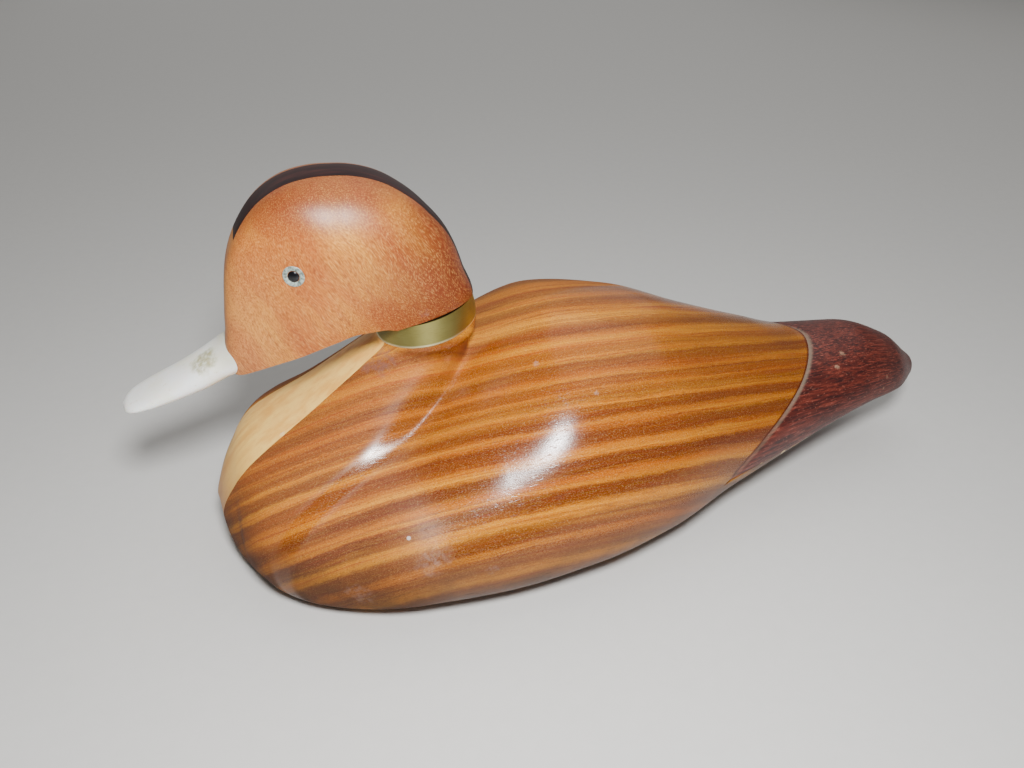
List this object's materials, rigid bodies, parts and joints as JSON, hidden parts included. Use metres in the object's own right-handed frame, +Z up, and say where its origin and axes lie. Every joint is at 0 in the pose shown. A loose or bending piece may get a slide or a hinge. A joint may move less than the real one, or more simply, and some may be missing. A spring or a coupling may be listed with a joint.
{
  "type": "carved wooden duck",
  "caption": "Carved and polished duck made of several woods, with a metal neck ring, a pale bill and inlaid eyes, resting on its flat underside.",
  "frame": {"origin": "on the surface the duck stands on, under the middle of its whole length and width", "axes": "+X towards the bill, +Y to the duck's left, +Z up"},
  "size_m": [0.19, 0.082, 0.0835],
  "materials": {
    "striped_wood": "polished, lengthwise dark stripes",
    "pale_wood": "satin",
    "maroon_wood": "satin, open grain",
    "ring_metal": "dulled",
    "dark_wood": "polished",
    "reddish_wood": "polished, fine flecks",
    "bone": "smooth bone or horn, slightly stained",
    "eye_shell": "pale inlay",
    "eye_black": "glossy"
  },
  "bodies": {
    "root": {"body": "striped_wood", "breast_panel": "pale_wood", "tail": "maroon_wood", "neck_ring": "ring_metal", "crown_strip": "dark_wood", "cheek_left": "reddish_wood", "cheek_right": "reddish_wood", "bill": "bone", "eye_ring_left": "eye_shell", "eye_ring_right": "eye_shell", "pupil_left": "eye_black", "pupil_right": "eye_black"}
  },
  "joints": []
}
